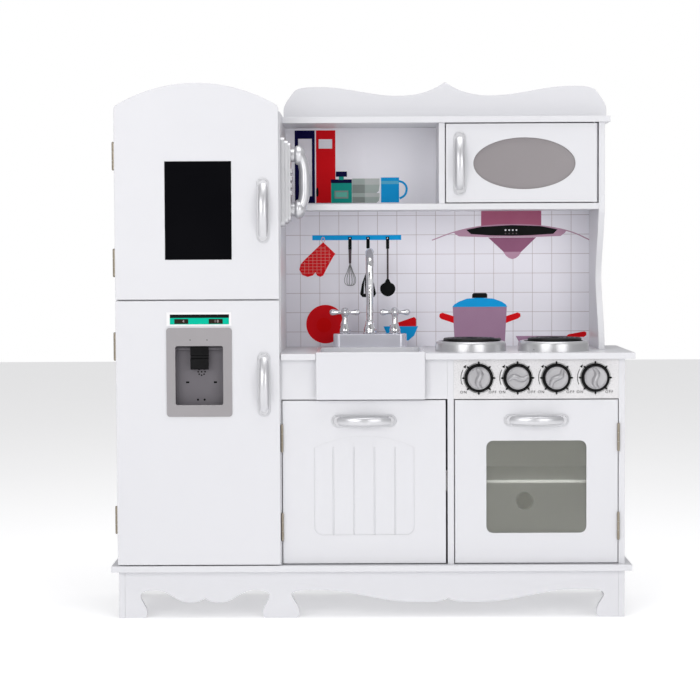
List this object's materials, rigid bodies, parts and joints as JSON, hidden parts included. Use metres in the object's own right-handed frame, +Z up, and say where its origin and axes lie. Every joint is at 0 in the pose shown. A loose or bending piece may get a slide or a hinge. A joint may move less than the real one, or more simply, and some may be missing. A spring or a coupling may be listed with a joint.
{
  "type": "toy kitchen",
  "caption": "White painted toy kitchen with a fridge column, sink cupboard, oven, hutch with microwave and shelf, toy telephone and a scalloped plinth.",
  "frame": {"origin": "centre of the footprint at the floor", "axes": "+Z up, +X to the viewer's right, +Y from the doors to the wall behind"},
  "size_m": [1.005, 0.322, 1.04],
  "materials": {
    "painted_board": "white satin paint on MDF",
    "speckled_board": "light silver print on MDF",
    "printed_board": "printed tiles on hardboard",
    "chalk_black": "matt chalkboard paint",
    "silver_plastic": "silver plastic",
    "hinge_metal": "dull plated steel",
    "pivot_steel": "bright steel",
    "catch_plastic": "white plastic round a magnet",
    "grey_plastic": "grey plastic",
    "black_plastic": "black plastic",
    "label_print": "printed vinyl",
    "clear_window": "clear acrylic",
    "tinted_window": "smoked acrylic",
    "sink_white": "white moulded plastic",
    "faucet_chrome": "plated plastic",
    "burner_silver": "spun metal finish",
    "coil_black": "black plastic coil"
  },
  "bodies": {
    "carcass": {"base_board": "painted_board", "base_apron": "painted_board", "base_left_leg": "painted_board", "base_right_leg": "painted_board", "base_back_rail": "painted_board", "fridge_left_side": "painted_board", "fridge_right_side": "painted_board", "fridge_top_board": "painted_board", "fridge_mid_board": "painted_board", "fridge_shelf": "painted_board", "fridge_back": "painted_board", "cabinet_divider": "painted_board", "cabinet_side": "painted_board", "cabinet_back": "painted_board", "oven_shelf": "painted_board", "worktop": "painted_board", "sink_front_panel": "painted_board", "control_panel": "speckled_board", "hutch_side": "painted_board", "hutch_shelf": "painted_board", "hutch_divider": "painted_board", "hutch_top_board": "painted_board", "microwave_pivots": "pivot_steel", "backsplash": "printed_board", "crest_board": "painted_board", "hinge_leaves_fixed": "hinge_metal", "magnet_catches": "catch_plastic", "faucet_base": "faucet_chrome", "burner_rings": "burner_silver", "burner_grates": "coil_black", "phone_base": "silver_plastic"},
    "freezer": {"freezer_door": "painted_board", "chalkboard": "chalk_black", "freezer_handle": "silver_plastic", "freezer_hinge_leaves": "hinge_metal"},
    "fridge": {"fridge_door": "painted_board", "dispenser_housing": "grey_plastic", "dispenser_label": "label_print", "fridge_handle": "silver_plastic", "fridge_hinge_leaves": "hinge_metal"},
    "lever": {"dispenser_lever": "black_plastic"},
    "sink_cupboard_door": {"sink_door": "painted_board", "sink_handle": "silver_plastic", "sink_hinge_leaves": "hinge_metal"},
    "oven": {"oven_door": "painted_board", "oven_window": "clear_window", "oven_handle": "silver_plastic", "oven_hinge_leaves": "hinge_metal"},
    "microwave": {"microwave_door": "painted_board", "microwave_window": "tinted_window", "microwave_handle": "silver_plastic"},
    "knob_a": {"knob_1": "silver_plastic"},
    "knob_b": {"knob_2": "silver_plastic"},
    "knob_c": {"knob_3": "silver_plastic"},
    "knob_d": {"knob_4": "silver_plastic"},
    "basin": {"sink_basin": "sink_white"},
    "spout": {"faucet_spout": "faucet_chrome"},
    "left_tap": {"tap_left": "faucet_chrome"},
    "right_tap": {"tap_right": "faucet_chrome"},
    "handset": {"phone_handset": "silver_plastic"}
  },
  "joints": [
    {"name": "freezer_door_hinge", "type": "hinge", "parent": "carcass", "child": "freezer", "pos_m": [-0.4925, -0.1245, 0.78675], "axis": [0, 0, -1], "range_deg": [0, 115]},
    {"name": "fridge_door_hinge", "type": "hinge", "parent": "carcass", "child": "fridge", "pos_m": [-0.4925, -0.1245, 0.358], "axis": [0, 0, -1], "range_deg": [0, 115]},
    {"name": "dispenser_lever_pivot", "type": "hinge", "parent": "fridge", "child": "lever", "pos_m": [-0.33, -0.125, 0.52], "axis": [1, 0, 0], "range_deg": [0, 14], "stiffness_Nm_per_rad": 0.05, "springref_deg": -5.73},
    {"name": "sink_door_hinge", "type": "hinge", "parent": "carcass", "child": "sink_cupboard_door", "pos_m": [-0.17325, -0.1269, 0.262], "axis": [0, 0, -1], "range_deg": [0, 100]},
    {"name": "oven_door_hinge", "type": "hinge", "parent": "carcass", "child": "oven", "pos_m": [0.47175, -0.1269, 0.262], "axis": [0, 0, 1], "range_deg": [0, 110]},
    {"name": "microwave_door_hinge", "type": "hinge", "parent": "carcass", "child": "microwave", "pos_m": [0.4385, -0.007, 0.877], "axis": [0, 0, 1], "range_deg": [0, 105]},
    {"name": "knob_a_turn", "type": "hinge", "parent": "carcass", "child": "knob_a", "pos_m": [0.2044, -0.1244, 0.4615], "axis": [0, -1, 0], "range_deg": [-150, 150]},
    {"name": "knob_b_turn", "type": "hinge", "parent": "carcass", "child": "knob_b", "pos_m": [0.2788, -0.1244, 0.4615], "axis": [0, -1, 0], "range_deg": [-150, 150]},
    {"name": "knob_c_turn", "type": "hinge", "parent": "carcass", "child": "knob_c", "pos_m": [0.3532, -0.1244, 0.4615], "axis": [0, -1, 0], "range_deg": [-150, 150]},
    {"name": "knob_d_turn", "type": "hinge", "parent": "carcass", "child": "knob_d", "pos_m": [0.4276, -0.1244, 0.4615], "axis": [0, -1, 0], "range_deg": [-150, 150]},
    {"name": "basin_lift", "type": "slide", "parent": "carcass", "child": "basin", "axis": [0, 0, 1], "range_m": [0, 0.1]},
    {"name": "spout_swivel", "type": "hinge", "parent": "carcass", "child": "spout", "pos_m": [-0.003, 0.095, 0.539], "axis": [0, 0, 1], "range_deg": [-60, 60]},
    {"name": "left_tap_turn", "type": "hinge", "parent": "carcass", "child": "left_tap", "pos_m": [-0.0535, 0.095, 0.539], "axis": [0, 0, 1], "range_deg": [-90, 90]},
    {"name": "right_tap_turn", "type": "hinge", "parent": "carcass", "child": "right_tap", "pos_m": [0.0475, 0.095, 0.539], "axis": [0, 0, 1], "range_deg": [-90, 90]},
    {"name": "handset_lift", "type": "slide", "parent": "carcass", "child": "handset", "axis": [1, 0, 0], "range_m": [0, 0.06]}
  ]
}
